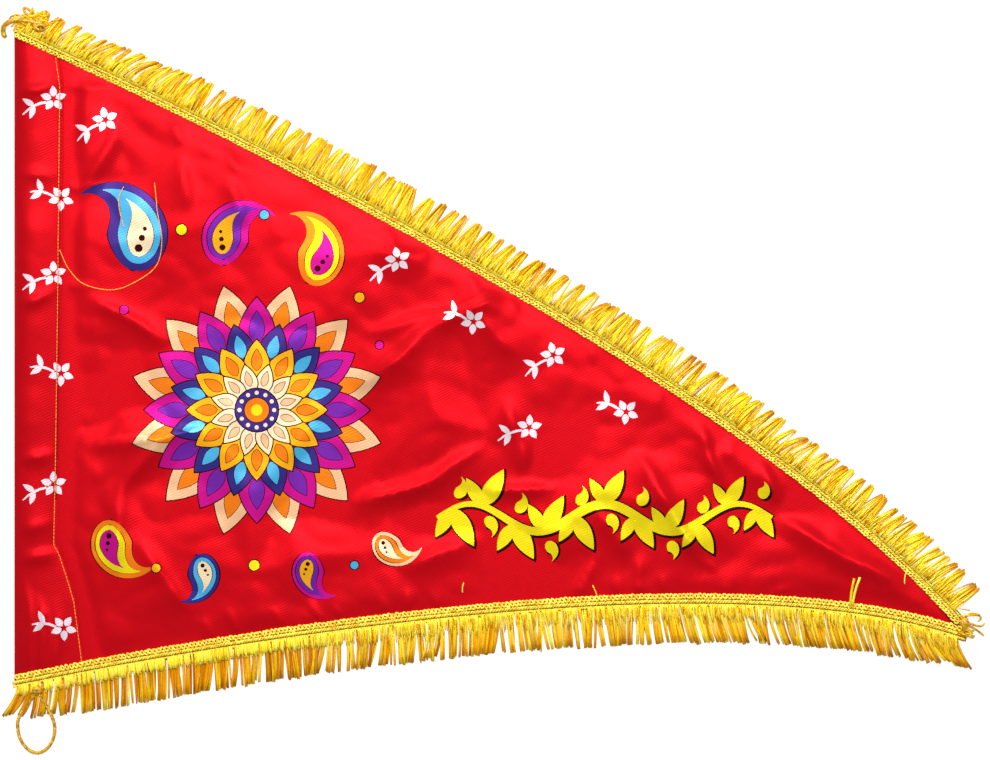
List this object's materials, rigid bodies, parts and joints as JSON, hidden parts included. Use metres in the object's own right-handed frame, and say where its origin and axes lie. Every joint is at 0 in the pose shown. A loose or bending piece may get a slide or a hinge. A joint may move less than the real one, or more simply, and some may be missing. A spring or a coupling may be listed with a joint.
{
  "type": "triangular flag",
  "caption": "Triangular satin flag lying face up, with a pole sleeve folded back along its hoist, fringe trim on both long edges and a cord tie at each corner.",
  "frame": {"origin": "centre of the bounding box, on the surface that the flag lies on", "axes": "+X from the hoist to the fly, +Y up along the hoist, +Z out of the printed face"},
  "size_m": [0.7892, 0.6024, 0.0115],
  "materials": {
    "red_satin": "glossy red polyester satin with a printed ornament",
    "gold_film": "glossy gold metallised film strips held in a crocheted braid",
    "gold_cord": "thin twisted gold metallic cord"
  },
  "bodies": {
    "root": {"flag_cloth": "red_satin", "upper_fringe": "gold_film", "lower_fringe": "gold_film", "upper_tie": "gold_cord", "lower_tie": "gold_cord", "tip_tie": "gold_cord"}
  },
  "joints": []
}
